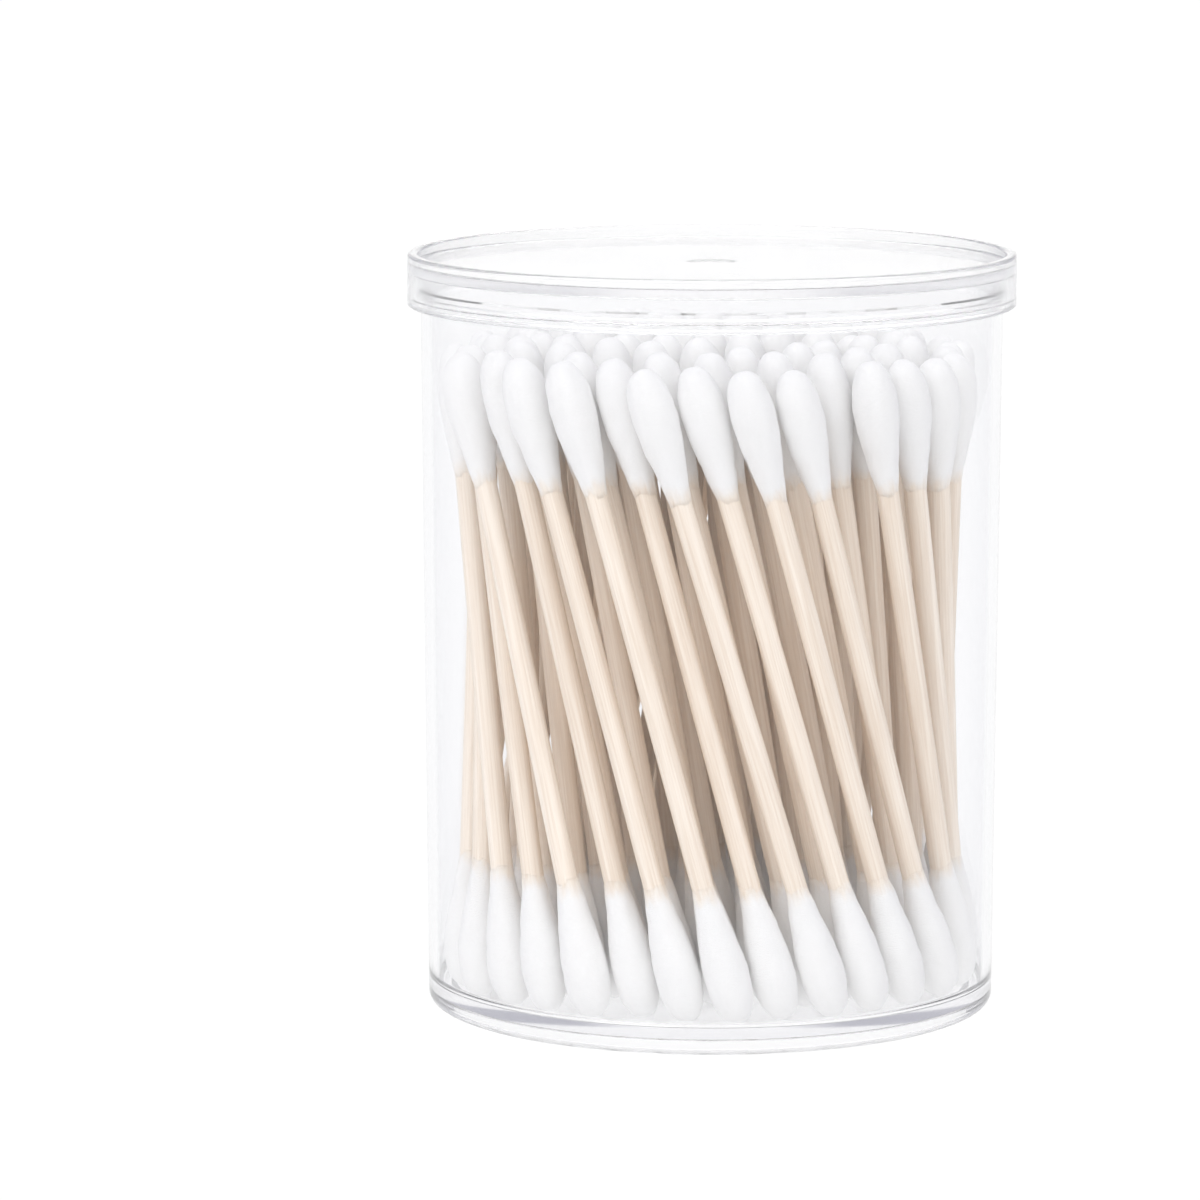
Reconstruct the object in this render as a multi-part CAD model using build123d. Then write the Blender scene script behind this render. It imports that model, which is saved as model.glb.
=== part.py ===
from build123d import *

import math
import os

import numpy as np

# A clear round tub with a push-on lid, holding cotton swabs on end in a twisted bundle.
# Millimetres, +Z up. The origin is on the surface that the tub stands on, at the tub's axis.

# Swabs
swab_length = 75.0  # from tip to tip
stick_diameter = 2.4
cotton_past_stick = 1.0  # cotton beyond each end of the stick
bud_length = 15.5
bud_diameter = 5.1  # at the widest place
bud_widest_at = 5.4  # from the tip
cotton_thin_wall = 0.3  # where the cotton runs out on the stick
tip_fullness = 2.3  # 2 gives an elliptical tip, more gives a blunter one
glue_gap = 0.03  # between a stick and the cotton wound on it

# Bundle
bundle_twist = 44.0  # degrees that the tops are turned clockwise from the bottoms
ring_room = 0.25  # between the buds of one ring and the next, before they scatter
swab_room = 0.5  # between the buds of neighbours in a ring, before they scatter
end_scatter = 3.2  # how far each end strays from its even place before it settles
swab_clearance = 0.06  # least gap from a swab to another or to the floor
wall_clearance = 0.15  # least gap from a swab to the wall
settling_margin = 0.08  # further room that the swabs are pushed to while they settle
settling_rounds = 1000
settling_step = 0.5  # share of an overlap that one round takes away
tip_station = 0.4  # how far from its tips a swab is first tested against its neighbours
scatter_seed = 7
swab_groups = 19  # the swabs are kept in this many groups, each one node of sticks and two of buds

# Tub
tub_diameter = 65.2  # outside the wall, at the rim
wall_draft = 0.7  # that the wall comes in from the rim to the base
wall = 1.1
floor_thickness = 1.4
foot_height = 1.5
foot_width = 2.8
headroom = 5.0  # above an upright swab
base_corner_radius = 1.3
foot_edge_radius = 0.3
floor_corner_radius = 1.0
rim_edge_radius = 0.25

# Snap bead around the tub and the ridge in the lid that passes it
bead_drop = 2.0  # from the rim to the middle of the bead
bead_height = 0.9
bead_rise = 0.22
ridge_drop = 3.1  # from the rim to the middle of the ridge
ridge_height = 0.8
snap_clearance = 0.12  # from the bead to the ridge as they pass
snap_edge_radius = 0.08

# Lid
skirt_clearance = 0.5  # from the tub's wall to the inside of the skirt
skirt_wall = 0.95
skirt_depth = 3.8  # below the tub's rim
panel_thickness = 0.9
panel_recess = 1.2  # below the lid's raised rim
raised_rim_width = 1.2
lid_edge_radius = 0.45
skirt_edge_radius = 0.25
recess_corner_radius = 0.3
gate_mark_diameter = 5.8
gate_mark_depth = 0.25

# Worked out
stick_length = swab_length - 2 * cotton_past_stick
floor_top = foot_height + floor_thickness
tub_height = floor_top + swab_length + headroom
lid_top = tub_height + panel_thickness + panel_recess
rim_radius = tub_diameter / 2
base_radius = rim_radius - wall_draft
bud_thin_radius = stick_diameter / 2 + cotton_thin_wall


def outer_radius(z):
    """The tub's outer wall widens evenly from the base to the rim."""
    return base_radius + (rim_radius - base_radius) * z / tub_height


def inner_radius(z):
    return outer_radius(z) - wall


def turned(corners):
    """Turns a closed outline about the Z axis. Each corner is (radius, height, rounding)."""
    points = [(radius, height) for radius, height, _ in corners]
    rounding = [corner[2] for corner in corners]
    outline = make_face(FilletPolyline(*points, radius=rounding, close=True))
    return revolve(Plane.XZ * outline, Axis.Z)


def snap_rib(root_radii, tip_radius, middle, height):
    """Corners, from the bottom up, of a rib with a flat tip and sloping sides round a wall."""
    bottom_root, top_root = root_radii
    return [
        (bottom_root, middle - height / 2, 0),
        (tip_radius, middle - height / 4, snap_edge_radius),
        (tip_radius, middle + height / 4, snap_edge_radius),
        (top_root, middle + height / 2, 0),
    ]


def make_tub():
    bead = tub_height - bead_drop
    bead_roots = (outer_radius(bead - bead_height / 2), outer_radius(bead + bead_height / 2))
    foot_inner = base_radius - foot_width
    return turned([
        (0, foot_height, 0),
        (foot_inner, foot_height, foot_edge_radius),
        (foot_inner, 0, foot_edge_radius),
        (base_radius, 0, base_corner_radius),
        *snap_rib(bead_roots, rim_radius + bead_rise, bead, bead_height),
        (rim_radius, tub_height, rim_edge_radius),
        (inner_radius(tub_height), tub_height, rim_edge_radius),
        (inner_radius(floor_top), floor_top, floor_corner_radius),
        (0, floor_top, 0),
    ])


def make_lid():
    inside = rim_radius + skirt_clearance
    outside = inside + skirt_wall
    skirt_bottom = tub_height - skirt_depth
    ridge = tub_height - ridge_drop
    ridge_radius = rim_radius + bead_rise + snap_clearance
    panel_top = tub_height + panel_thickness
    recess_radius = outside - raised_rim_width
    gate_radius = gate_mark_diameter / 2
    return turned([
        (0, tub_height, 0),
        (inside, tub_height, 0),
        *reversed(snap_rib((inside, inside), ridge_radius, ridge, ridge_height)),
        (inside, skirt_bottom, skirt_edge_radius),
        (outside, skirt_bottom, skirt_edge_radius),
        (outside, lid_top, lid_edge_radius),
        (recess_radius, lid_top, lid_edge_radius),
        (recess_radius, panel_top, recess_corner_radius),
        (gate_radius, panel_top, 0),
        (gate_radius - gate_mark_depth, panel_top - gate_mark_depth, 0),
        (0, panel_top - gate_mark_depth, 0),
    ])


def bud_radius(s):
    """Radius of a bud at s from its tip: a blunt round end, then a slow taper to the stick."""
    widest = bud_diameter / 2
    tip = np.clip(1 - s / bud_widest_at, 0, 1)
    end = np.clip((s - bud_widest_at) / (bud_length - bud_widest_at), 0, 1)
    rounded = widest * (1 - tip ** tip_fullness) ** (1 / tip_fullness)
    return rounded - (widest - bud_thin_radius) * (1 - np.cos(math.pi * end)) / 2


def swab_radius(s):
    """Radius of a whole swab at s from its bottom tip."""
    from_tip = np.minimum(s, swab_length - s)
    return np.where(from_tip < bud_length, bud_radius(from_tip), stick_diameter / 2)


def make_bud():
    """A bud with its tip at the origin, along +Z, with a blind hole for the stick."""
    tip_heights = bud_widest_at * np.linspace(0, 1, 6) ** 2
    taper_heights = np.linspace(bud_widest_at, bud_length, 5)
    tip = Spline(*[(bud_radius(s), s) for s in tip_heights], tangents=[(1, 0), (0, 1)])
    taper = Spline(*[(bud_radius(s), s) for s in taper_heights], tangents=[(0, 1), (0, 1)])
    hole = stick_diameter / 2 + glue_gap
    hole_end = cotton_past_stick - glue_gap
    inside = Polyline(taper @ 1, (hole, bud_length), (hole, hole_end), (0, hole_end), tip @ 0)
    return revolve(Plane.XZ * make_face(tip + taper + inside), Axis.Z)


def make_stick():
    """A stick along +Z, placed as it lies in a swab whose bottom tip is at the origin."""
    return Pos(0, 0, swab_length / 2) * Cylinder(stick_diameter / 2, stick_length)


def even_places():
    """Plan places of the swabs' bottoms and tops, ring by ring from the wall inwards."""
    half_twist = math.radians(bundle_twist / 2)
    bottoms, tops = [], []
    radius = inner_radius(floor_top) - bud_diameter / 2 - wall_clearance
    while radius > 0:
        count = max(1, int(2 * math.pi * radius / (bud_diameter + swab_room)))
        for i in range(count):
            angle = 2 * math.pi * i / count
            bottoms.append((radius * math.cos(angle + half_twist), radius * math.sin(angle + half_twist)))
            tops.append((radius * math.cos(angle - half_twist), radius * math.sin(angle - half_twist)))
        radius -= bud_diameter + ring_room
    return np.array(bottoms), np.array(tops)


def axes_of(bottoms, tops):
    """Bottom tip and direction of each swab, with its lowest point just clear of the floor."""
    lean = (tops - bottoms) / swab_length
    rise = np.sqrt(1 - (lean ** 2).sum(1, keepdims=True))
    along = np.linspace(0, bud_widest_at, 40)
    sideways = np.linalg.norm(lean, axis=1, keepdims=True)
    lowest = (along * rise - bud_radius(along) * sideways).min(1, keepdims=True)
    feet = np.hstack([bottoms, floor_top + swab_clearance - lowest])
    return feet, np.hstack([lean, rise])


def neighbour_push(points, directions, stations):
    """Plan pushes, at each station along each swab, that clear it of its neighbours.

    Also gives the deepest overlap.
    """
    push = np.zeros(points.shape[:2] + (2,))
    deepest = 0.0
    radii = swab_radius(stations)
    for i, own in enumerate(points):
        apart = own - points
        slide = (apart * directions[:, None]).sum(2)
        across = apart - slide[..., None] * directions[:, None]
        distance = np.linalg.norm(across, axis=2)
        distance[i] = np.inf
        beside = swab_radius(np.clip(stations + slide, 0, swab_length))
        overlap = np.maximum(radii + beside + swab_clearance + settling_margin - distance, 0)
        level = across[..., :2]
        length = np.linalg.norm(level, axis=2, keepdims=True)
        push[i] = (level / np.maximum(length, 1e-9) * overlap[..., None]).sum(0)
        deepest = max(deepest, overlap.max())
    return push, deepest


def wall_push(points, stations):
    """Plan pushes, at each station along each swab, that clear it of the wall, and the deepest overlap."""
    out = np.linalg.norm(points[..., :2], axis=2)
    room = inner_radius(points[..., 2]) - wall_clearance - settling_margin - swab_radius(stations)
    over = np.maximum(out - room, 0)
    return -points[..., :2] * (over / np.maximum(out, 1e-9))[..., None], over.max()


def settle(bottoms, tops):
    """Scatters the swabs' ends, then pushes apart those that overlap until all are clear."""
    chance = np.random.default_rng(scatter_seed)
    bottoms = bottoms + chance.uniform(-end_scatter, end_scatter, bottoms.shape)
    tops = tops + chance.uniform(-end_scatter, end_scatter, tops.shape)
    bud_stations = np.linspace(tip_station, bud_length, 9)
    stick_stations = np.linspace(bud_length, swab_length - bud_length, 7)[1:-1]
    stations = np.concatenate([bud_stations, stick_stations, swab_length - bud_stations[::-1]])
    share = (stations / swab_length)[:, None]
    for _ in range(settling_rounds):
        feet, directions = axes_of(bottoms, tops)
        points = feet[:, None] + directions[:, None] * stations[:, None]
        aside, swab_overlap = neighbour_push(points, directions, stations)
        inwards, wall_overlap = wall_push(points, stations)
        if max(swab_overlap, wall_overlap) < settling_margin:
            break
        push = aside + inwards
        bottoms = bottoms + settling_step * strongest(push * (1 - share))
        tops = tops + settling_step * strongest(push * share)
    return bottoms, tops


def strongest(push):
    """The largest push each way along each swab, so that a long contact counts once."""
    return np.maximum(push.max(1), 0) + np.minimum(push.min(1), 0)


def swab_places():
    """Where each swab stands: its own Z axis runs from its bottom tip to its top one."""
    feet, directions = axes_of(*settle(*even_places()))
    return [Plane(origin=foot, z_dir=way).location for foot, way in zip(feet.tolist(), directions.tolist())]


def save(name, solids):
    export_step(Compound(children=solids), f"parts/{name}.step")


def save_swabs():
    """Writes the swabs in groups, with the sticks, top buds and bottom buds as nodes of their own."""
    stick = make_stick()
    bottom_bud = make_bud()
    top_bud = Pos(0, 0, swab_length) * Rot(180, 0, 0) * bottom_bud
    places = swab_places()
    for group in range(swab_groups):
        start = group * len(places) // swab_groups
        end = (group + 1) * len(places) // swab_groups
        for kind, shape in (("sticks", stick), ("bottom_buds", bottom_bud), ("top_buds", top_bud)):
            save(f"{kind}_{group + 1:02d}", [place * shape for place in places[start:end]])


os.makedirs("parts", exist_ok=True)
save("tub", [make_tub()])
save("lid", [make_lid()])
save_swabs()
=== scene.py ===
"""A clear round tub of cotton swabs with its push-on lid, on a pale studio floor.

All lengths are in metres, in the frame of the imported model: +Z is up, and the origin is
under the tub's axis on the surface that it stands on.
"""

import logging
import math
from dataclasses import dataclass
from enum import Enum

import bmesh
import bpy
import mathutils
import numpy as np
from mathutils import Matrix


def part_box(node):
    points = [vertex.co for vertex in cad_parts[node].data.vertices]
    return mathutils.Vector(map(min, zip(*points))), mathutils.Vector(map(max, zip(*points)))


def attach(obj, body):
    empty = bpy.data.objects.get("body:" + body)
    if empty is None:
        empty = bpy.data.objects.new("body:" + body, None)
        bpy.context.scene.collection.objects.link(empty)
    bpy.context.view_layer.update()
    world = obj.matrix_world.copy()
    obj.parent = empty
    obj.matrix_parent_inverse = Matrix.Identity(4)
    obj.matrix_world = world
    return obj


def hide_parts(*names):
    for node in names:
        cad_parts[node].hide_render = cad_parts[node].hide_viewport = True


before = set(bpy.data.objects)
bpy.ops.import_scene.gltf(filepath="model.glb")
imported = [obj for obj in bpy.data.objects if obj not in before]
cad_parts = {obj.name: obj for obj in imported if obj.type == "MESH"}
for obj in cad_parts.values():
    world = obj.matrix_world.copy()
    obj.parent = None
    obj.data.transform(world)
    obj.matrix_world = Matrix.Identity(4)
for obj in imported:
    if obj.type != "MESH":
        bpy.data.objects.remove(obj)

LOG = logging.getLogger("swab_tub")
MM = 0.001
TOP_NUMBERS = 1000.0  # added to a swab's number for its top bud
LUMP_TOP = 0.62  # the height of the noise that stays at the bud's full radius
FLOOR_GAP = 0.1 * MM  # the floor lies this far under the tub, so that two faces don't share a plane
SAME_POINT = 0.001 * MM  # points nearer than this are one point of a stick
PLACE_DIGITS = 6  # swabs are put in order by their places to the micrometre
Vector = tuple[float, float, float]
Corner = tuple[float, float, float]  # radius, height, rounding
Colour = tuple[float, float, float, float]


class Detail(Enum):
    """How finely a bud is meshed: sides around it, and rows along it."""

    FINE = (40, 26)
    PLAIN = (18, 12)


class End(Enum):
    """Which end of a swab a bud is on, as its CAD nodes are named."""

    BOTTOM = "bottom_buds"
    TOP = "top_buds"


class Nodes:
    """Adds nodes to a node tree and joins them."""

    def __init__(self, tree: bpy.types.NodeTree) -> None:
        """Keeps the tree to be filled.

        Args:
            tree: A shader or geometry node tree.
        """
        self.tree = tree

    def add(self, kind: str, inputs: dict | None = None, **settings: object) -> bpy.types.Node:
        """Adds one node.

        Args:
            kind: The node's type name.
            inputs: Socket name or number to a value, or to the output that feeds it.
            settings: Properties of the node.

        Returns:
            The new node.
        """
        node = self.tree.nodes.new(kind)
        for name, value in settings.items():
            setattr(node, name, value)
        for name, value in (inputs or {}).items():
            self.feed(node.inputs[name], value)
        return node

    def feed(self, socket: bpy.types.NodeSocket, value: object) -> None:
        """Gives a socket a plain value, or joins it to the output that feeds it.

        Args:
            socket: The input socket.
            value: An output socket, or the value.
        """
        if isinstance(value, bpy.types.NodeSocket):
            self.tree.links.new(value, socket)
        else:
            socket.default_value = value

    def maths(self, operation: str, *values: object) -> bpy.types.NodeSocket:
        """Adds a Math node with these inputs and returns its result."""
        return self.add("ShaderNodeMath", dict(enumerate(values)), operation=operation).outputs[0]

    def vectors(self, operation: str, *values: object) -> bpy.types.NodeSocket:
        """Adds a Vector Math node with these inputs and returns its result."""
        return self.add("ShaderNodeVectorMath", dict(enumerate(values)), operation=operation).outputs[0]

    def blend(self, share: object, first: object, second: object) -> bpy.types.NodeSocket:
        """Mixes two colours and returns the result.

        Args:
            share: The share of the second colour.
            first: The first colour or its socket.
            second: The second colour or its socket.

        Returns:
            The mixed colour's socket.
        """
        mix = self.add("ShaderNodeMix", data_type="RGBA")
        for place, value in ((0, share), (6, first), (7, second)):
            self.feed(mix.inputs[place], value)
        return mix.outputs[2]

    def noise(
        self, place: object, scale: float, detail: float, roughness: float = 0.5
    ) -> bpy.types.NodeSocket:
        """Adds a Noise Texture.

        Args:
            place: Its coordinates.
            scale: How many lumps there are to a metre.
            detail: How many finer layers it has.
            roughness: The strength of the finer layers.

        Returns:
            Its value, about 0.5 on average.
        """
        settings = {"Vector": place, "Scale": scale, "Detail": detail, "Roughness": roughness}
        return self.add("ShaderNodeTexNoise", settings).outputs[0]

    def attribute(self, name: str, kind: str) -> bpy.types.NodeSocket:
        """Reads a named attribute in a geometry tree and returns its value."""
        return self.add("GeometryNodeInputNamedAttribute", {"Name": name}, data_type=kind).outputs[0]

    def ramp(
        self, value: object, low: object, high: object, smooth: bool = False
    ) -> bpy.types.NodeSocket:
        """Maps a value from low..high to 0..1.

        Args:
            value: The value or its socket.
            low: What becomes 0, or its socket.
            high: What becomes 1, or its socket.
            smooth: Whether the change eases in and out.

        Returns:
            The result, held between 0 and 1.
        """
        kind = "SMOOTHSTEP" if smooth else "LINEAR"
        sizes = {"Value": value, "From Min": low, "From Max": high}
        return self.add("ShaderNodeMapRange", sizes, interpolation_type=kind).outputs[0]


def new_group(name: str, kind: str, inputs: dict, outputs: dict) -> Nodes:
    """Makes a node group with named sockets.

    Args:
        name: The group's name.
        kind: The type of node tree.
        inputs: Name to (socket type, default value or None).
        outputs: Name to socket type.

    Returns:
        The node adder of the new group.
    """
    tree = bpy.data.node_groups.new(name, kind)
    for label, (socket_type, default) in inputs.items():
        socket = tree.interface.new_socket(label, in_out="INPUT", socket_type=socket_type)
        if default is not None:
            socket.default_value = default
    for label, socket_type in outputs.items():
        tree.interface.new_socket(label, in_out="OUTPUT", socket_type=socket_type)
    return Nodes(tree)


# ---------------------------------------------------------------- shader groups


@dataclass(frozen=True)
class Grain:
    """Fine grain along a stick, with a tone of its own for each stick."""

    stretch: Vector = (1.0, 1.0, 0.02)  # the streaks run along the stick
    shift: Vector = (0.71, 0.33, 0.19)  # from one stick's grain to the next
    fine_streaks: float = 5200.0  # to a metre
    broad_streaks: float = 1300.0
    fine_share: float = 0.6
    deep_to: float = 0.36
    pale_from: float = 0.64
    tone_spread: float = 0.44  # between the deepest stick and the palest

    def make_group(self) -> bpy.types.NodeTree:
        """Makes the shader group.

        Returns:
            The group, which gives the wood's colour and height.
        """
        nodes = new_group(
            "wood_grain",
            "ShaderNodeTree",
            {
                "Place": ("NodeSocketVector", None),
                "Number": ("NodeSocketFloat", 0.0),
                "Pale": ("NodeSocketColor", None),
                "Deep": ("NodeSocketColor", None),
            },
            {"Colour": "NodeSocketColor", "Height": "NodeSocketFloat"},
        )
        given = nodes.add("NodeGroupInput").outputs
        drawn_out = nodes.vectors("MULTIPLY", given["Place"], self.stretch)
        shift = nodes.vectors("MULTIPLY", self.shift, given["Number"])
        place = nodes.vectors("ADD", drawn_out, shift)
        fine = nodes.noise(place, self.fine_streaks, 3.0, 0.6)
        broad = nodes.noise(place, self.broad_streaks, 2.0)
        own = nodes.add("ShaderNodeTexWhiteNoise", {"W": given["Number"]}, noise_dimensions="1D")
        sharper = nodes.maths("SUBTRACT", fine, broad)
        streaks = nodes.maths("MULTIPLY_ADD", sharper, self.fine_share, broad)
        tone = nodes.maths("MULTIPLY_ADD", own.outputs[0], self.tone_spread, -self.tone_spread / 2)
        share = nodes.maths("ADD", nodes.ramp(streaks, self.deep_to, self.pale_from), tone)
        held = nodes.add("ShaderNodeClamp", {"Value": share}).outputs[0]
        colour = nodes.blend(held, given["Deep"], given["Pale"])
        nodes.add("NodeGroupOutput", {"Colour": colour, "Height": streaks})
        return nodes.tree


@dataclass(frozen=True)
class Fibre:
    """Wound cotton: soft lumps and fine fibres around a bud, with painted shade between the strands,
    thinning out at its end.
    """

    shift: Vector = (0.53, 0.29, 0.87)  # from one bud's fibres to the next
    strand_stretch: Vector = (1.0, 1.0, 3.2)  # the strands run around the bud
    strands: float = 2600.0  # to a metre
    lumps: float = 700.0
    lump_share: float = 0.5
    wisp_stretch: Vector = (1.0, 1.0, 0.4)  # the wisps run along the stick
    wisps: float = 900.0
    wisp_reach: float = 3.0 * MM
    # painted shade: the cotton's colour between its strands, where the bump is low
    shade: Colour = (0.86, 0.855, 0.845, 1)
    shade_to: float = 0.25
    cotton_from: float = 0.6

    def make_group(self) -> bpy.types.NodeTree:
        """Makes the shader group.

        Returns:
            The group, which gives the bud's colour and height.
        """
        nodes = new_group(
            "cotton_fibre",
            "ShaderNodeTree",
            {
                "Place": ("NodeSocketVector", None),
                "Number": ("NodeSocketFloat", 0.0),
                "Cotton": ("NodeSocketColor", None),
                "Under": ("NodeSocketColor", None),
                "Thins From": ("NodeSocketFloat", 0.012),
                "Thins To": ("NodeSocketFloat", 0.016),
            },
            {"Colour": "NodeSocketColor", "Height": "NodeSocketFloat"},
        )
        given = nodes.add("NodeGroupInput").outputs
        place = given["Place"]
        shift = nodes.vectors("MULTIPLY", self.shift, given["Number"])
        wound = nodes.vectors("ADD", nodes.vectors("MULTIPLY", place, self.strand_stretch), shift)
        strands = nodes.noise(wound, self.strands, 5.0, 0.68)
        lumps = nodes.noise(nodes.vectors("ADD", place, shift), self.lumps, 2.0)
        height = nodes.maths("MULTIPLY_ADD", lumps, self.lump_share, strands)
        along = nodes.add("ShaderNodeSeparateXYZ", {0: place}).outputs[2]
        drawn = nodes.vectors("ADD", nodes.vectors("MULTIPLY", place, self.wisp_stretch), shift)
        wisps = nodes.noise(drawn, self.wisps, 5.0, 0.6)
        farther = nodes.maths("ADD", along, self.wisp_reach / 2)
        ragged = nodes.maths("MULTIPLY_ADD", wisps, -self.wisp_reach, farther)
        thin = nodes.ramp(ragged, given["Thins From"], given["Thins To"], smooth=True)
        # painted shade darkens the cotton where the strands are low
        filled = nodes.ramp(strands, self.shade_to, self.cotton_from)
        shaded = nodes.blend(filled, self.shade, given["Cotton"])
        colour = nodes.blend(thin, shaded, given["Under"])
        nodes.add("NodeGroupOutput", {"Colour": colour, "Height": height})
        return nodes.tree


@dataclass(frozen=True)
class MouldedFlow:
    """The slow waves and faint hazy patches that moulding leaves in clear plastic."""

    stretch: Vector = (1.0, 1.0, 0.35)  # the plastic flowed up the wall
    waves: float = 45.0  # to a metre
    haze: float = 160.0
    smooth_to: float = 0.4
    hazy_from: float = 0.8

    def make_group(self) -> bpy.types.NodeTree:
        """Makes the shader group.

        Returns:
            The group, which gives the plastic's roughness and height.
        """
        nodes = new_group(
            "moulded_flow",
            "ShaderNodeTree",
            {
                "Place": ("NodeSocketVector", None),
                "Smooth": ("NodeSocketFloat", 0.02),
                "Hazy": ("NodeSocketFloat", 0.06),
            },
            {"Roughness": "NodeSocketFloat", "Height": "NodeSocketFloat"},
        )
        given = nodes.add("NodeGroupInput").outputs
        flow = nodes.vectors("MULTIPLY", given["Place"], self.stretch)
        waves = nodes.noise(flow, self.waves, 1.0)
        haze = nodes.noise(flow, self.haze, 3.0)
        step = nodes.maths("SUBTRACT", given["Hazy"], given["Smooth"])
        share = nodes.ramp(haze, self.smooth_to, self.hazy_from)
        roughness = nodes.maths("MULTIPLY_ADD", share, step, given["Smooth"])
        nodes.add("NodeGroupOutput", {"Roughness": roughness, "Height": waves})
        return nodes.tree


# ---------------------------------------------------------------- finishes


class Material:
    """A new material with its own Principled shader, ready to be dressed."""

    def __init__(self, name: str) -> None:
        """Makes the material.

        Args:
            name: The material's name.
        """
        self.material = bpy.data.materials.new(name)
        self.material.use_nodes = True
        self.material.node_tree.nodes.clear()
        self.nodes = Nodes(self.material.node_tree)
        self.shader = self.nodes.add("ShaderNodeBsdfPrincipled")
        self.output = self.nodes.add("ShaderNodeOutputMaterial")
        self.nodes.feed(self.output.inputs["Surface"], self.shader.outputs[0])

    def set(self, **values: object) -> None:
        """Sets inputs of the Principled shader, with underscores for the spaces in their names."""
        for name, value in values.items():
            self.nodes.feed(self.shader.inputs[name.replace("_", " ")], value)

    def group(self, tree: bpy.types.NodeTree, inputs: dict) -> bpy.types.Node:
        """Places a shader node group in the material.

        Args:
            tree: The group.
            inputs: Its inputs.

        Returns:
            The group's node.
        """
        node = self.nodes.add("ShaderNodeGroup", node_tree=tree)
        for name, value in inputs.items():
            self.nodes.feed(node.inputs[name], value)
        return node

    def own_place(self) -> tuple[bpy.types.NodeSocket, bpy.types.NodeSocket]:
        """Reads what a copy carries.

        Returns:
            Its own coordinates, along its axis from its tip, and its number.
        """
        place = self.nodes.add("ShaderNodeAttribute", attribute_name="own_place").outputs["Vector"]
        return place, self.nodes.add("ShaderNodeAttribute", attribute_name="number").outputs["Fac"]

    def bump(self, height: bpy.types.NodeSocket, strength: float, distance: float) -> None:
        """Turns a height into the shader's normal.

        Args:
            height: The height's socket.
            strength: How much of it is felt.
            distance: The depth of its full height, in metres.
        """
        sizes = {"Height": height, "Strength": strength, "Distance": distance}
        self.set(Normal=self.nodes.add("ShaderNodeBump", sizes).outputs[0])


@dataclass(frozen=True)
class WoodFinish:
    """Bare pale wood, turned into thin sticks."""

    pale: Colour = (0.96, 0.87, 0.76, 1)
    deep: Colour = (0.82, 0.70, 0.575, 1)
    roughness: float = 0.6
    specular: float = 0.3
    grain_felt: float = 0.5
    grain_depth: float = 0.03 * MM

    def make(self, grain: bpy.types.NodeTree) -> bpy.types.Material:
        """Makes the material.

        Args:
            grain: The wood grain group.

        Returns:
            The material.
        """
        made = Material("bare_wood")
        place, number = made.own_place()
        tones = {"Pale": self.pale, "Deep": self.deep}
        wood = made.group(grain, {"Place": place, "Number": number, **tones}).outputs
        made.set(Base_Color=wood["Colour"], Roughness=self.roughness, Specular_IOR_Level=self.specular)
        made.bump(wood["Height"], self.grain_felt, self.grain_depth)
        return made.material


@dataclass(frozen=True)
class CottonFinish:
    """Bleached cotton wound onto a stick, which shows through where it thins out."""

    cotton: Colour = (0.925, 0.922, 0.912, 1)
    wood: WoodFinish = WoodFinish()
    thins_from: float = 13.0 * MM
    thins_to: float = 15.9 * MM
    roughness: float = 0.95
    specular: float = 0.1
    sheen: float = 0.35
    sheen_roughness: float = 0.5
    glow: float = 0.25
    glow_reach: float = 0.8 * MM
    fibre_felt: float = 0.55
    fibre_depth: float = 0.16 * MM

    def make(self, fibre: bpy.types.NodeTree, grain: bpy.types.NodeTree) -> bpy.types.Material:
        """Makes the material. Where the cotton ends, the grain of its own stick shows.

        Args:
            fibre: The cotton fibre group.
            grain: The wood grain group.

        Returns:
            The material.
        """
        made = Material("wound_cotton")
        place, number = made.own_place()
        stick = made.nodes.maths("FLOORED_MODULO", number, TOP_NUMBERS)
        tones = {"Pale": self.wood.pale, "Deep": self.wood.deep}
        under = made.group(grain, {"Place": place, "Number": stick, **tones}).outputs["Colour"]
        look = {"Cotton": self.cotton, "Thins From": self.thins_from, "Thins To": self.thins_to}
        wool = made.group(fibre, {"Place": place, "Number": number, "Under": under, **look}).outputs
        made.set(Base_Color=wool["Colour"], Roughness=self.roughness, Specular_IOR_Level=self.specular)
        made.set(Sheen_Weight=self.sheen, Sheen_Roughness=self.sheen_roughness)
        made.set(Subsurface_Weight=self.glow, Subsurface_Radius=(1, 1, 1), Subsurface_Scale=self.glow_reach)
        made.bump(wool["Height"], self.fibre_felt, self.fibre_depth)
        return made.material


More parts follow.
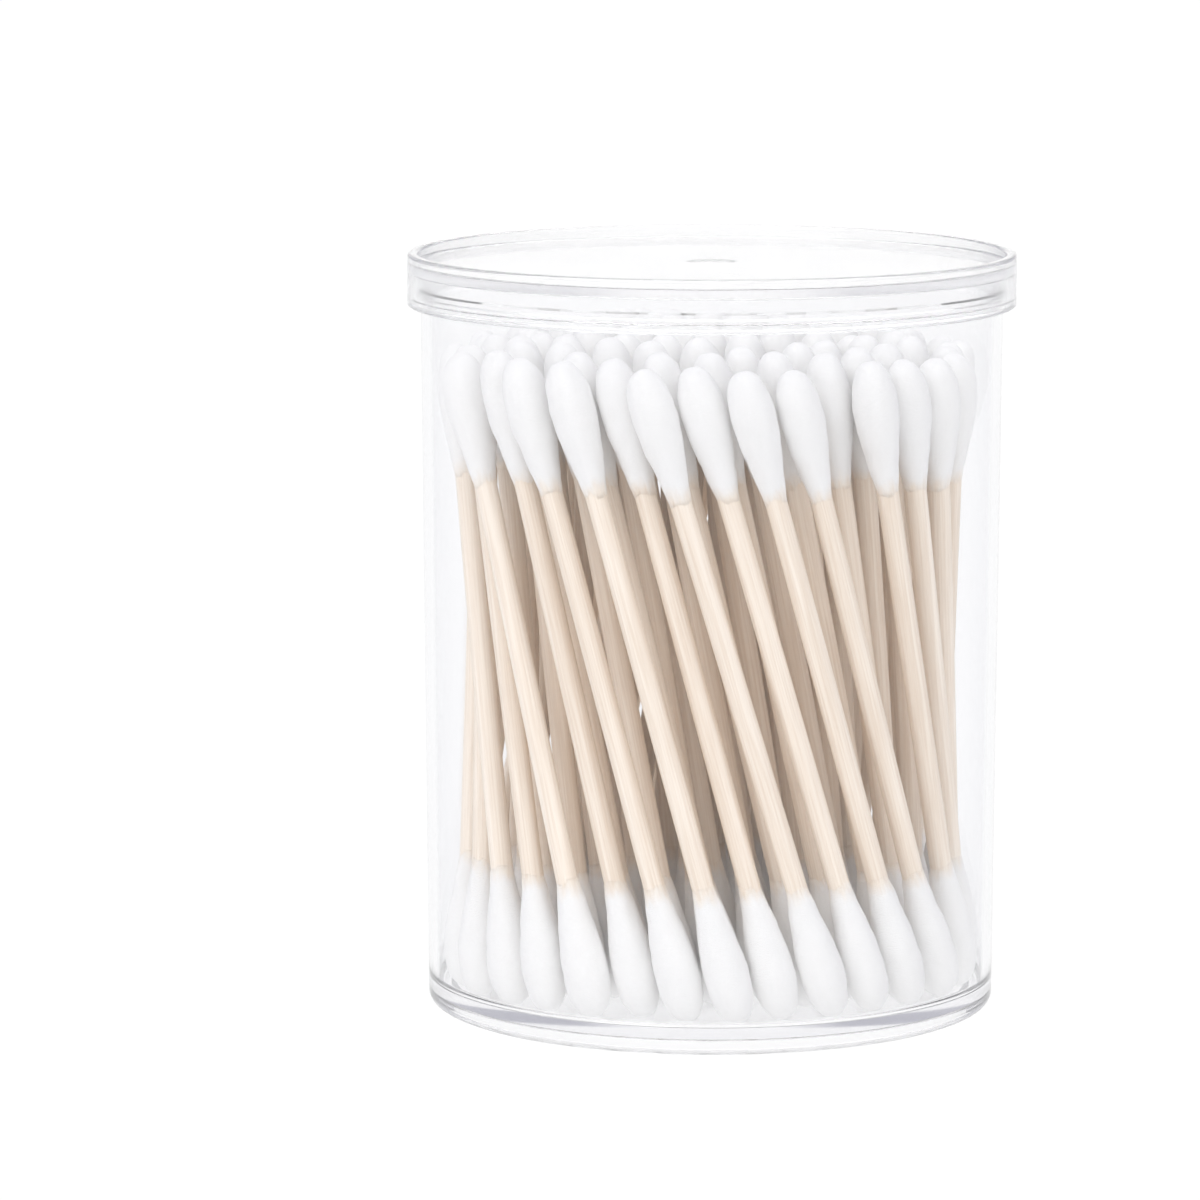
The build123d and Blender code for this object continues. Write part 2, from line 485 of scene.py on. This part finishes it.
@dataclass(frozen=True)
class ClearPlasticFinish:
    """Moulded clear plastic, whose thick edges look faintly lilac and grey, the grey partly painted shade
    where an upright wall is seen edge on.
    """

    name: str
    base: Colour
    transmission: float
    smooth: float
    hazy: float
    edge_tint: Colour
    edge_density: float
    # painted shade: towards the silhouette of an upright wall the base colour darkens to this
    painted_rim_shade: Colour = (0.82, 0.825, 0.85, 1)
    gloss_tint: Colour = (0.9, 0.9, 0.91, 1)
    # the facings between which the painted shade comes in
    rim_from: float = 0.5
    rim_to: float = 1.0
    see_through: Colour = (0.97, 0.97, 0.975, 1)
    ior: float = 1.49
    wave_felt: float = 0.12
    wave_depth: float = 0.012 * MM

    def painted_rim_colour(self, nodes: Nodes) -> bpy.types.NodeSocket:
        """The base colour, with painted shade where an upright wall is seen edge on.

        Args:
            nodes: The material's nodes.

        Returns:
            The colour's socket.
        """
        facing = nodes.add("ShaderNodeLayerWeight", {"Blend": 0.5}).outputs["Facing"]
        normal = nodes.add("ShaderNodeTexCoord").outputs["Normal"]
        level = nodes.maths("ABSOLUTE", nodes.add("ShaderNodeSeparateXYZ", {0: normal}).outputs[2])
        upright = nodes.maths("SUBTRACT", 1.0, level)
        # painted shade, strongest where an upright wall is seen edge on
        edge_on = nodes.ramp(facing, self.rim_from, self.rim_to, smooth=True)
        return nodes.blend(nodes.maths("MULTIPLY", edge_on, upright), self.base, self.painted_rim_shade)

    def make(self, moulded: bpy.types.NodeTree) -> bpy.types.Material:
        """Makes the material. Light reaches what is behind it without being bent.

        Args:
            moulded: The moulded flow group.

        Returns:
            The material.
        """
        made = Material(self.name)
        nodes = made.nodes
        place = nodes.add("ShaderNodeTexCoord").outputs["Object"]
        flow = made.group(moulded, {"Place": place, "Smooth": self.smooth, "Hazy": self.hazy})
        # the base colour carries painted shade at the silhouettes of upright walls
        made.set(Base_Color=self.painted_rim_colour(nodes), Roughness=flow.outputs["Roughness"], IOR=self.ior)
        made.set(Transmission_Weight=self.transmission, Metallic=0.0, Specular_Tint=self.gloss_tint)
        if self.wave_depth:
            made.bump(flow.outputs["Height"], self.wave_felt, self.wave_depth)
        clear = nodes.add("ShaderNodeBsdfTransparent", {"Color": self.see_through}).outputs[0]
        rays = nodes.add("ShaderNodeLightPath").outputs
        surface = made.shader.outputs[0]
        for ray in ("Is Shadow Ray", "Is Diffuse Ray"):
            surface = nodes.add("ShaderNodeMixShader", {0: rays[ray], 1: surface, 2: clear}).outputs[0]
        nodes.feed(made.output.inputs["Surface"], surface)
        tint = {"Color": self.edge_tint, "Density": self.edge_density}
        inside = nodes.add("ShaderNodeVolumeAbsorption", tint).outputs[0]
        nodes.feed(made.output.inputs["Volume"], inside)
        return made.material


CRYSTAL = ClearPlasticFinish(
    name="crystal_plastic",
    base=(0.972, 0.972, 0.98, 1),
    transmission=1.0,
    smooth=0.015,
    hazy=0.04,
    edge_tint=(0.77, 0.765, 0.8, 1),
    edge_density=6.0,
    gloss_tint=(0.6, 0.605, 0.65, 1),
)
MILKY = ClearPlasticFinish(
    name="milky_plastic",
    base=(0.97, 0.97, 0.972, 1),
    transmission=0.9,
    smooth=0.05,
    hazy=0.08,
    edge_tint=(0.8, 0.8, 0.82, 1),
    edge_density=6.0,
    gloss_tint=(0.8, 0.803, 0.82, 1),
    wave_depth=0.0,
)


# ---------------------------------------------------------------- turned shells


@dataclass
class TurnedShell:
    """A closed shell turned about the Z axis, with a true normal at every point of its outline."""

    name: str
    corners: list[Corner]
    sides: int = 256
    steps_per_round: int = 6

    def outline(self) -> list[tuple[float, float, float, float]]:
        """Rounds the corners of the outline.

        Returns:
            (radius, height, outward radius, outward height) for each point, in order.
        """
        points = [np.array(c[:2]) for c in self.corners]
        count = len(points)
        made = []
        for i, (radius, height, rounding) in enumerate(self.corners):
            before, after = points[i - 1], points[(i + 1) % count]
            here = points[i]
            into = (here - before) / np.linalg.norm(here - before)
            out = (after - here) / np.linalg.norm(after - here)
            if radius == 0:
                side = out if i == 0 else into
                made.append((*here, *self.outward(side)))
                continue
            turn = math.acos(float(np.clip(into @ out, -1, 1)))
            reach = rounding * math.tan(turn / 2)
            start, way_in, way_out = here - into * reach, self.outward(into), self.outward(out)
            bend = np.sign(into[0] * out[1] - into[1] * out[0])
            centre = start - bend * way_in * rounding
            for step in range(self.steps_per_round + 1):
                share = step / self.steps_per_round
                mixed = way_in * math.sin((1 - share) * turn) + way_out * math.sin(share * turn)
                normal = mixed / math.sin(turn)
                made.append((*(centre + bend * normal * rounding), *normal))
        return made

    @staticmethod
    def outward(way: np.ndarray) -> np.ndarray:
        """The side that faces out of an outline that runs up its outer wall."""
        return np.array([way[1], -way[0]])

    def build(self) -> bpy.types.Object:
        """Makes the shell's mesh.

        Returns:
            The shell, at the origin.
        """
        outline = self.outline()
        angles = np.arange(self.sides) * 2 * math.pi / self.sides
        vertices, normals, rings = [], [], []
        for radius, height, out, up in outline:
            turns = angles if radius > 0 else angles[:1]
            rings.append(np.arange(len(turns)) + len(vertices))
            for a in turns:
                vertices.append((radius * math.cos(a), radius * math.sin(a), height))
                normals.append((out * math.cos(a), out * math.sin(a), up))
        faces = []
        for low, high in zip(rings, rings[1:] + rings[:1]):
            if len(low) == 1 and len(high) == 1:
                continue
            for i in range(self.sides):
                j = (i + 1) % self.sides
                if len(low) == 1:
                    faces.append((low[0], high[j], high[i]))
                elif len(high) == 1:
                    faces.append((low[i], low[j], high[0]))
                else:
                    faces.append((low[i], low[j], high[j], high[i]))
        mesh = bpy.data.meshes.new(self.name)
        mesh.from_pydata(vertices, [], [tuple(int(v) for v in f) for f in faces])
        mesh.polygons.foreach_set("use_smooth", [True] * len(mesh.polygons))
        mesh.normals_split_custom_set_from_vertices(normals)
        shell = bpy.data.objects.new(self.name, mesh)
        bpy.context.scene.collection.objects.link(shell)
        return shell


@dataclass
class Tub:
    """The clear cup: its floor, foot ring, drafted wall, rim and push-on bead."""

    wall: float = 1.1 * MM
    wall_draft: float = 0.7 * MM
    floor_thickness: float = 1.4 * MM
    foot_height: float = 1.5 * MM
    foot_width: float = 2.8 * MM
    bead_drop: float = 2.0 * MM
    bead_height: float = 0.9 * MM
    bead_rise: float = 0.22 * MM
    foot_rounding: float = 0.3 * MM
    heel_rounding: float = 1.3 * MM
    rim_rounding: float = 0.25 * MM
    floor_rounding: float = 1.0 * MM
    sharp: float = 0.08 * MM

    def corners(self) -> list[Corner]:
        """The outline, from the middle of the underside round to the middle of the floor.

        Returns:
            (radius, height, rounding) for each corner.
        """
        _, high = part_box("tub")
        rim, height = high.x - self.bead_rise, high.z
        base = rim - self.wall_draft
        foot = base - self.foot_width
        floor = self.foot_height + self.floor_thickness
        bead = height - self.bead_drop

        def outer(z: float) -> float:
            """The outer wall's radius at a height."""
            return base + (rim - base) * z / height

        half = self.bead_height / 2
        return [
            (0, self.foot_height, 0),
            (foot, self.foot_height, self.foot_rounding),
            (foot, 0, self.foot_rounding),
            (base, 0, self.heel_rounding),
            (outer(bead - half), bead - half, self.sharp),
            (rim + self.bead_rise, bead - half / 2, self.sharp),
            (rim + self.bead_rise, bead + half / 2, self.sharp),
            (outer(bead + half), bead + half, self.sharp),
            (rim, height, self.rim_rounding),
            (outer(height) - self.wall, height, self.rim_rounding),
            (outer(floor) - self.wall, floor, self.floor_rounding),
            (0, floor, 0),
        ]

    def build(self, finish: bpy.types.Material) -> bpy.types.Object:
        """Makes the tub, which takes the place of its CAD node.

        Args:
            finish: Its material.

        Returns:
            The tub.
        """
        tub = TurnedShell("clear_tub", self.corners()).build()
        tub.data.materials.append(finish)
        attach(tub, "tub")
        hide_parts("tub")
        LOG.info("tub: %d faces", len(tub.data.polygons))
        return tub


@dataclass
class Lid:
    """The push-on lid: its recessed panel, raised rim, skirt, ridge and gate mark."""

    skirt_wall: float = 0.95 * MM
    panel_thickness: float = 0.9 * MM
    panel_recess: float = 1.2 * MM
    rim_width: float = 1.2 * MM
    ridge_drop: float = 3.1 * MM
    ridge_height: float = 0.8 * MM
    ridge_rise: float = 0.16 * MM
    gate_radius: float = 2.9 * MM
    gate_depth: float = 0.12 * MM
    gate_slope: float = 0.6 * MM
    gate_rounding: float = 1.0 * MM
    seat_gap: float = 0.03 * MM
    corner_rounding: float = 0.15 * MM
    skirt_rounding: float = 0.25 * MM
    top_rounding: float = 0.45 * MM
    panel_rounding: float = 0.3 * MM
    sharp: float = 0.08 * MM

    def corners(self) -> list[Corner]:
        """The outline, from the middle of the panel's underside round to the middle of its top.

        Returns:
            (radius, height, rounding) for each corner.
        """
        low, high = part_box("lid")
        outside, top, skirt_bottom = high.x, high.z, low.z
        inside = outside - self.skirt_wall
        panel_top = top - self.panel_recess
        rim = panel_top - self.panel_thickness
        underside = rim + self.seat_gap
        ridge = rim - self.ridge_drop
        half = self.ridge_height / 2
        recess = outside - self.rim_width
        return [
            (0, underside, 0),
            (inside, underside, self.corner_rounding),
            (inside, ridge + half, self.sharp),
            (inside - self.ridge_rise, ridge + half / 2, self.sharp),
            (inside - self.ridge_rise, ridge - half / 2, self.sharp),
            (inside, ridge - half, self.sharp),
            (inside, skirt_bottom, self.skirt_rounding),
            (outside, skirt_bottom, self.skirt_rounding),
            (outside, top, self.top_rounding),
            (recess, top, self.top_rounding),
            (recess, panel_top, self.panel_rounding),
            (self.gate_radius, panel_top, self.gate_rounding),
            (self.gate_radius - self.gate_slope, panel_top - self.gate_depth, self.gate_rounding),
            (0, panel_top - self.gate_depth, 0),
        ]

    def build(self, finish: bpy.types.Material) -> bpy.types.Object:
        """Makes the lid, which takes the place of its CAD node.

        Args:
            finish: Its material.

        Returns:
            The lid.
        """
        lid = TurnedShell("push_on_lid", self.corners()).build()
        lid.data.materials.append(finish)
        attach(lid, "lid")
        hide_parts("lid")
        LOG.info("lid: %d faces", len(lid.data.polygons))
        return lid


# ---------------------------------------------------------------- swabs


@dataclass
class Swab:
    """One swab's axis, read from its stick."""

    bottom: np.ndarray
    way: np.ndarray
    number: int


def read_swabs(node: str, first_number: int, length: float) -> list[Swab]:
    """Finds the swabs of one group from the axes of their sticks.

    Args:
        node: The CAD node of the group's sticks.
        first_number: The number of the group's first swab.
        length: A swab's length from tip to tip.

    Returns:
        The swabs, each from its bottom tip.
    """
    copy = bmesh.new()
    copy.from_mesh(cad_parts[node].data)
    bmesh.ops.remove_doubles(copy, verts=copy.verts, dist=SAME_POINT)
    found, seen = [], set()
    for start in copy.verts:
        if start in seen:
            continue
        island, todo = [], [start]
        seen.add(start)
        while todo:
            vertex = todo.pop()
            island.append(vertex.co.copy())
            for edge in vertex.link_edges:
                other = edge.other_vert(vertex)
                if other not in seen:
                    seen.add(other)
                    todo.append(other)
        points = np.array(island)
        centre = points.mean(0)
        way = np.linalg.svd(points - centre, full_matrices=False)[2][0]
        way = way * np.sign(way[2])
        reach = (points - centre) @ way
        middle = centre + way * (reach.max() + reach.min()) / 2
        found.append((middle - way * length / 2, way))
    copy.free()
    found.sort(key=lambda item: tuple(round(float(place), PLACE_DIGITS) for place in item[0][:2]))
    return [Swab(bottom, way, first_number + i) for i, (bottom, way) in enumerate(found)]


def make_copies_tree() -> bpy.types.NodeTree:
    """A Geometry Nodes tree that stands a shape at each point, each with its own lumps and girth.

    Returns:
        The tree. A shape's own coordinates stay on it as own_place, and its number as number.
    """
    nodes = new_group(
        "standing_copies",
        "GeometryNodeTree",
        {
            "Points": ("NodeSocketGeometry", None),
            "Shape": ("NodeSocketObject", None),
            "Lump Height": ("NodeSocketFloat", 0.0),
            "Lump Size": ("NodeSocketFloat", 0.002),
            "Girth Spread": ("NodeSocketFloat", 0.0),
            "Seed": ("NodeSocketInt", 0),
            "Material": ("NodeSocketMaterial", None),
        },
        {"Geometry": "NodeSocketGeometry"},
    )
    given = nodes.add("NodeGroupInput").outputs
    way = nodes.attribute("way", "FLOAT_VECTOR")
    number = nodes.attribute("number", "FLOAT")
    whole = nodes.add("FunctionNodeFloatToInt", {0: number}).outputs[0]
    drawn = {"ID": whole, "Seed": given["Seed"]}
    turn = nodes.add("FunctionNodeRandomValue", drawn, data_type="FLOAT")
    nodes.feed(turn.inputs[3], 2 * math.pi)
    girth = nodes.add("FunctionNodeRandomValue", drawn, data_type="FLOAT")
    nodes.feed(girth.inputs[2], nodes.maths("SUBTRACT", 1.0, given["Girth Spread"]))
    nodes.feed(girth.inputs[3], 1.0)
    about_axis = nodes.add("ShaderNodeCombineXYZ", {"Z": turn.outputs[1]}).outputs[0]
    spin = nodes.add("FunctionNodeEulerToRotation", {0: about_axis})
    lean = nodes.add("FunctionNodeAlignRotationToVector", {"Vector": way}, axis="Z")
    both = {0: lean.outputs[0], 1: spin.outputs[0]}
    stand = nodes.add("FunctionNodeRotateRotation", both, rotation_space="LOCAL")
    size = nodes.add("ShaderNodeCombineXYZ", {"X": girth.outputs[1], "Y": girth.outputs[1], "Z": 1.0})
    shape = nodes.add("GeometryNodeObjectInfo", {"Object": given["Shape"]}).outputs["Geometry"]
    standing = {"Points": given["Points"], "Instance": shape}
    turned = {"Rotation": stand.outputs[0], "Scale": size.outputs[0]}
    copies = nodes.add("GeometryNodeInstanceOnPoints", {**standing, **turned})
    solid = nodes.add("GeometryNodeRealizeInstances", {0: copies.outputs[0]}).outputs[0]
    place = nodes.attribute("own_place", "FLOAT_VECTOR")
    scale = nodes.maths("DIVIDE", 1.0, given["Lump Size"])
    lumps = {"Vector": place, "W": number, "Scale": scale, "Detail": 2.0}
    noise = nodes.add("ShaderNodeTexNoise", lumps, noise_dimensions="4D").outputs[0]
    below_top = nodes.maths("SUBTRACT", noise, LUMP_TOP)
    swell = nodes.maths("MULTIPLY", below_top, given["Lump Height"])
    normal = nodes.add("GeometryNodeInputNormal").outputs[0]
    out = nodes.add("ShaderNodeVectorMath", {0: normal, "Scale": swell}, operation="SCALE").outputs[0]
    moved = nodes.add("GeometryNodeSetPosition", {"Geometry": solid, "Offset": out}).outputs[0]
    smooth = nodes.add("GeometryNodeSetShadeSmooth", {"Geometry": moved}).outputs[0]
    finish = {"Geometry": smooth, "Material": given["Material"]}
    nodes.add("NodeGroupOutput", {0: nodes.add("GeometryNodeSetMaterial", finish).outputs[0]})
    return nodes.tree


def make_shape(name: str, rows: list[tuple[float, float]], sides: int) -> bpy.types.Object:
    """Turns a shape that the copies repeat, with its own coordinates kept on it.

    Args:
        name: The shape's name.
        rows: (radius, height) from the lower pole to the upper one. The poles have radius 0.
        sides: Sides around it.

    Returns:
        The shape, which isn't in the scene.
    """
    angles = np.arange(sides) * 2 * math.pi / sides
    vertices = [(0, 0, rows[0][1])]
    for radius, height in rows[1:-1]:
        vertices += [(radius * math.cos(a), radius * math.sin(a), height) for a in angles]
    vertices.append((0, 0, rows[-1][1]))
    last = len(vertices) - 1
    faces = []
    for i in range(sides):
        j = (i + 1) % sides
        faces.append((0, 1 + j, 1 + i))
        faces.append((last, last - sides + i, last - sides + j))
        for row in range(len(rows) - 3):
            low = 1 + row * sides
            faces.append((low + i, low + j, low + sides + j, low + sides + i))
    mesh = bpy.data.meshes.new(name)
    mesh.from_pydata(vertices, [], faces)
    own = mesh.attributes.new("own_place", "FLOAT_VECTOR", "POINT")
    own.data.foreach_set("vector", np.array(vertices, np.float32).ravel())
    return bpy.data.objects.new(name, mesh)


@dataclass
class Bundle:
    """The swabs: sticks and cotton buds, standing where the CAD sticks stand."""

    length: float = 75 * MM
    stick_radius: float = 1.2 * MM
    cotton_past_stick: float = 1.0 * MM
    bud_radius: float = 2.55 * MM
    bud_length: float = 15.5 * MM
    bud_widest_at: float = 5.4 * MM
    bud_thin_wall: float = 0.28 * MM
    bud_end_wall: float = 0.03 * MM
    bud_taper: float = 3.0 * MM
    taper_power: float = 1.5
    tip_fullness: float = 2.3
    tip_crowding: float = 1.35
    stick_sides: int = 20
    stick_steps: int = 12
    lump_height: float = 0.42 * MM
    lump_size: float = 1.9 * MM
    girth_spread: float = 0.05
    wall_groups: int = 7
    groups: int = 19
    seed: int = 11

    def bud_rows(self, rows: int) -> list[tuple[float, float]]:
        """The outline of a bud, from its tip to where it closes on the stick.

        Args:
            rows: Rows along it.

        Returns:
            (radius, height) for each row.
        """
        thin = self.stick_radius + self.bud_thin_wall
        made = []
        for row in range(rows + 1):
            share = (row / rows) ** self.tip_crowding
            s = share * self.bud_length
            tip = max(0.0, 1 - s / self.bud_widest_at)
            end = max(0.0, (s - self.bud_widest_at) / (self.bud_length - self.bud_widest_at))
            full = self.bud_radius * (1 - tip ** self.tip_fullness) ** (1 / self.tip_fullness)
            bell = full - (self.bud_radius - thin) * (1 - math.cos(math.pi * end)) / 2
            last = max(0.0, 1 - (self.bud_length - s) / self.bud_taper)
            taper = (self.bud_thin_wall - self.bud_end_wall) * last ** self.taper_power
            made.append((bell - taper, s))
        under, end = self.stick_radius - self.bud_end_wall, self.bud_length + self.bud_end_wall
        return made + [(under, end), (0, end)]

    def stick_rows(self) -> list[tuple[float, float]]:
        """The outline of a stick, from the lower end to the upper one.

        Returns:
            (radius, height) for each row.
        """
        low, high = self.cotton_past_stick, self.length - self.cotton_past_stick
        steps = range(self.stick_steps + 1)
        wall = [(self.stick_radius, low + (high - low) * i / self.stick_steps) for i in steps]
        return [(0, low), *wall, (0, high)]

    def points(self, name: str, swabs: list[Swab], end: End) -> bpy.types.Object:
        """A mesh of bare points, one at the tip of each swab, with the ways that they lean.

        Args:
            name: The piece's name.
            swabs: The group's swabs.
            end: The end at which the shape starts.

        Returns:
            The object, at the origin.
        """
        upside_down = end is End.TOP
        tips = [s.bottom + s.way * self.length * upside_down for s in swabs]
        ways = [-s.way if upside_down else s.way for s in swabs]
        mesh = bpy.data.meshes.new(name)
        mesh.from_pydata([tuple(t) for t in tips], [], [])
        lean = mesh.attributes.new("way", "FLOAT_VECTOR", "POINT")
        lean.data.foreach_set("vector", np.array(ways, np.float32).ravel())
        label = mesh.attributes.new("number", "FLOAT", "POINT")
        label.data.foreach_set("value", [s.number + TOP_NUMBERS * upside_down for s in swabs])
        piece = bpy.data.objects.new(name, mesh)
        bpy.context.scene.collection.objects.link(piece)
        return piece

    def stand(self, piece: bpy.types.Object, tree: bpy.types.NodeTree, inputs: dict) -> None:
        """Runs the copies tree on a piece and keeps the result as its plain mesh.

        Args:
            piece: The piece, a mesh of points.
            tree: The copies tree.
            inputs: The tree's inputs by name.
        """
        modifier = piece.modifiers.new("copies", "NODES")
        modifier.node_group = tree
        for item in tree.interface.items_tree:
            if item.item_type == "SOCKET" and item.in_out == "INPUT" and item.name in inputs:
                modifier[item.identifier] = inputs[item.name]
        graph = bpy.context.evaluated_depsgraph_get()
        made = piece.evaluated_get(graph)
        mesh = bpy.data.meshes.new_from_object(made, preserve_all_data_layers=True, depsgraph=graph)
        piece.modifiers.clear()
        piece.data = mesh
        mesh.name = piece.name

    def build(self, wood: bpy.types.Material, cotton: bpy.types.Material) -> None:
        """Makes each group's sticks and buds, in place of their CAD nodes.

        Args:
            wood: The sticks' material.
            cotton: The buds' material.
        """
        tree = make_copies_tree()
        stick = make_shape("stick_shape", self.stick_rows(), self.stick_sides)
        buds = {}
        for detail in Detail:
            sides, rows = detail.value
            buds[detail] = make_shape(f"bud_shape_{detail.name.lower()}", self.bud_rows(rows), sides)
        number = 0
        for group in range(1, self.groups + 1):
            swabs = read_swabs(f"sticks_{group:02d}", number, self.length)
            number += len(swabs)
            plain = {"Shape": stick, "Seed": self.seed, "Material": wood}
            sticks = self.points(f"wood_sticks_{group:02d}", swabs, End.BOTTOM)
            self.stand(sticks, tree, plain)
            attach(sticks, "tub")
            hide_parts(f"sticks_{group:02d}")
            for end in End:
                near = group <= self.wall_groups or end is End.TOP
                shape = buds[Detail.FINE if near else Detail.PLAIN]
                soft = {"Shape": shape, "Seed": self.seed, "Material": cotton}
                lumps = {"Lump Height": self.lump_height, "Lump Size": self.lump_size}
                piece = self.points(f"cotton_{end.value}_{group:02d}", swabs, end)
                self.stand(piece, tree, {**soft, **lumps, "Girth Spread": self.girth_spread})
                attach(piece, "tub")
                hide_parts(f"{end.value}_{group:02d}")
            LOG.info("group %d: %d swabs", group, len(swabs))
        for shape in (stick, *buds.values()):
            bpy.data.objects.remove(shape)


# ---------------------------------------------------------------- studio


@dataclass(frozen=True)
class Lamp:
    """One soft square lamp."""

    name: str
    place: Vector
    size: float
    power: float
    aim: Vector = (0, 0, 0.04)

    def hang(self) -> None:
        """Hangs the lamp in the scene, pointed at its aim."""
        data = bpy.data.lights.new(self.name, "AREA")
        data.size, data.energy = self.size, self.power
        lamp = bpy.data.objects.new(self.name, data)
        lamp.location = self.place
        way = mathutils.Vector(self.aim) - mathutils.Vector(self.place)
        lamp.rotation_euler = way.to_track_quat("-Z", "Y").to_euler()
        bpy.context.scene.collection.objects.link(lamp)


LAMPS = (
    Lamp("key", (-0.7, -0.8, 1.1), 0.9, 6.5),
    Lamp("fill", (0.9, -0.6, 0.7), 0.8, 1.5),
    Lamp("back", (0.2, 1.0, 0.9), 0.9, 2.0),
)


@dataclass
class Studio:
    """A pale floor, soft light from above and in front, and a long lens."""

    camera_distance: float = 0.716
    camera_height: float = 0.1509
    pitch_down: float = 8.37
    yaw_left: float = 1.0
    focal_length: float = 192.7
    sensor: float = 36.0
    seen_from: float = 0.05
    seen_to: float = 50.0
    floor_radius: float = 6.0
    floor_sides: int = 96
    floor_patches: float = 3.0
    floor_white: float = 0.05
    floor_spread: float = 0.02
    floor_roughness: float = 0.9
    floor_glow: float = 0.96
    bounces: int = 24
    soft_bounces: int = 6
    noise_limit: float = 0.03
    sky_strength: float = 1.1
    backdrop: float = 1.0
    room: Colour = (0.5, 0.5, 0.545, 1)
    dim_from: float = 0.45  # the surround dims between these ways to the side, of 1
    dim_to: float = 0.95
    behind: float = 0.2  # beyond this way to the back, of 1, the next two hold
    dim_behind_from: float = 0.1
    dim_behind_to: float = 0.35

    def make_camera(self) -> None:
        """Places the camera level with the tub's lid, well back, looking slightly down."""
        data = bpy.data.cameras.new("camera")
        data.sensor_width = self.sensor
        data.lens = self.focal_length
        data.clip_start, data.clip_end = self.seen_from, self.seen_to
        camera = bpy.data.objects.new("camera", data)
        camera.location = (0, -self.camera_distance, self.camera_height)
        camera.rotation_euler = (math.radians(90 - self.pitch_down), 0, math.radians(self.yaw_left))
        bpy.context.scene.collection.objects.link(camera)
        bpy.context.scene.camera = camera

    def make_floor(self) -> None:
        """A wide plain floor, white with a barely uneven tone."""
        mesh = bpy.data.meshes.new("studio_floor")
        table = bmesh.new()
        bmesh.ops.create_circle(table, cap_ends=True, segments=self.floor_sides, radius=self.floor_radius)
        table.to_mesh(mesh)
        table.free()
        mesh.transform(mathutils.Matrix.Translation((0, 0, -FLOOR_GAP)))
        floor = bpy.data.objects.new("studio_floor", mesh)
        bpy.context.scene.collection.objects.link(floor)
        made = Material("floor_white")
        place = made.nodes.add("ShaderNodeTexCoord").outputs["Object"]
        dark, pale = self.floor_white, self.floor_white + self.floor_spread
        patches = made.nodes.noise(place, self.floor_patches, 2.0)
        tone = made.nodes.blend(patches, (dark, dark, dark, 1), (pale, pale, pale, 1))
        made.set(Base_Color=tone, Roughness=self.floor_roughness, Specular_IOR_Level=0.0)
        made.set(Emission_Color=(1, 1, 1, 1), Emission_Strength=self.floor_glow)
        mesh.materials.append(made.material)

    def make_sky(self) -> None:
        """An even white surround, dimmer at both sides, and more so behind the tub.

        The dim sides are what the clear plastic shows as grey lines where it is seen edge on.
        """
        world = bpy.data.worlds.new("studio_sky")
        world.use_nodes = True
        nodes = Nodes(world.node_tree)
        world.node_tree.nodes.clear()
        way = nodes.add("ShaderNodeTexCoord").outputs["Generated"]
        parts = nodes.add("ShaderNodeSeparateXYZ", {0: way}).outputs
        side = nodes.maths("ABSOLUTE", parts[0])
        in_front = nodes.ramp(parts[1], self.behind, -self.behind)
        middle = nodes.ramp(side, self.dim_behind_to, self.dim_behind_from, smooth=True)
        not_side = nodes.ramp(side, self.dim_to, self.dim_from, smooth=True)
        share = nodes.maths("MINIMUM", not_side, nodes.maths("MAXIMUM", in_front, middle))
        tone = nodes.blend(share, self.room, (self.backdrop, self.backdrop, self.backdrop, 1))
        sky = nodes.add("ShaderNodeBackground", {"Color": tone, "Strength": self.sky_strength})
        seen = nodes.add("ShaderNodeBackground", {"Color": (1, 1, 1, 1), "Strength": 1.0})
        camera_ray = nodes.add("ShaderNodeLightPath").outputs["Is Camera Ray"]
        mixed = nodes.add("ShaderNodeMixShader", {0: camera_ray, 1: sky.outputs[0], 2: seen.outputs[0]})
        nodes.add("ShaderNodeOutputWorld", {"Surface": mixed.outputs[0]})
        bpy.context.scene.world = world

    def build(self) -> None:
        """Makes the camera, the floor, the surround and the lamps, and sets how light is traced."""
        self.make_camera()
        self.make_floor()
        self.make_sky()
        for lamp in LAMPS:
            lamp.hang()
        scene = bpy.context.scene
        scene.view_settings.view_transform = "Standard"
        scene.cycles.use_denoising = True
        scene.cycles.max_bounces = self.bounces
        scene.cycles.glossy_bounces = self.bounces
        scene.cycles.transmission_bounces = self.bounces
        scene.cycles.transparent_max_bounces = self.bounces
        scene.cycles.diffuse_bounces = self.soft_bounces
        scene.cycles.adaptive_threshold = self.noise_limit


def main() -> None:
    """Builds the studio, the bundle, the tub and the lid."""
    logging.basicConfig(level=logging.INFO, format="%(name)s: %(message)s")
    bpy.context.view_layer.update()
    Studio().build()
    grain = Grain().make_group()
    wood = WoodFinish().make(grain)
    cotton = CottonFinish().make(Fibre().make_group(), grain)
    Bundle().build(wood, cotton)
    moulded = MouldedFlow().make_group()
    Tub().build(CRYSTAL.make(moulded))
    Lid().build(MILKY.make(moulded))


if __name__ == "__main__":
    main()
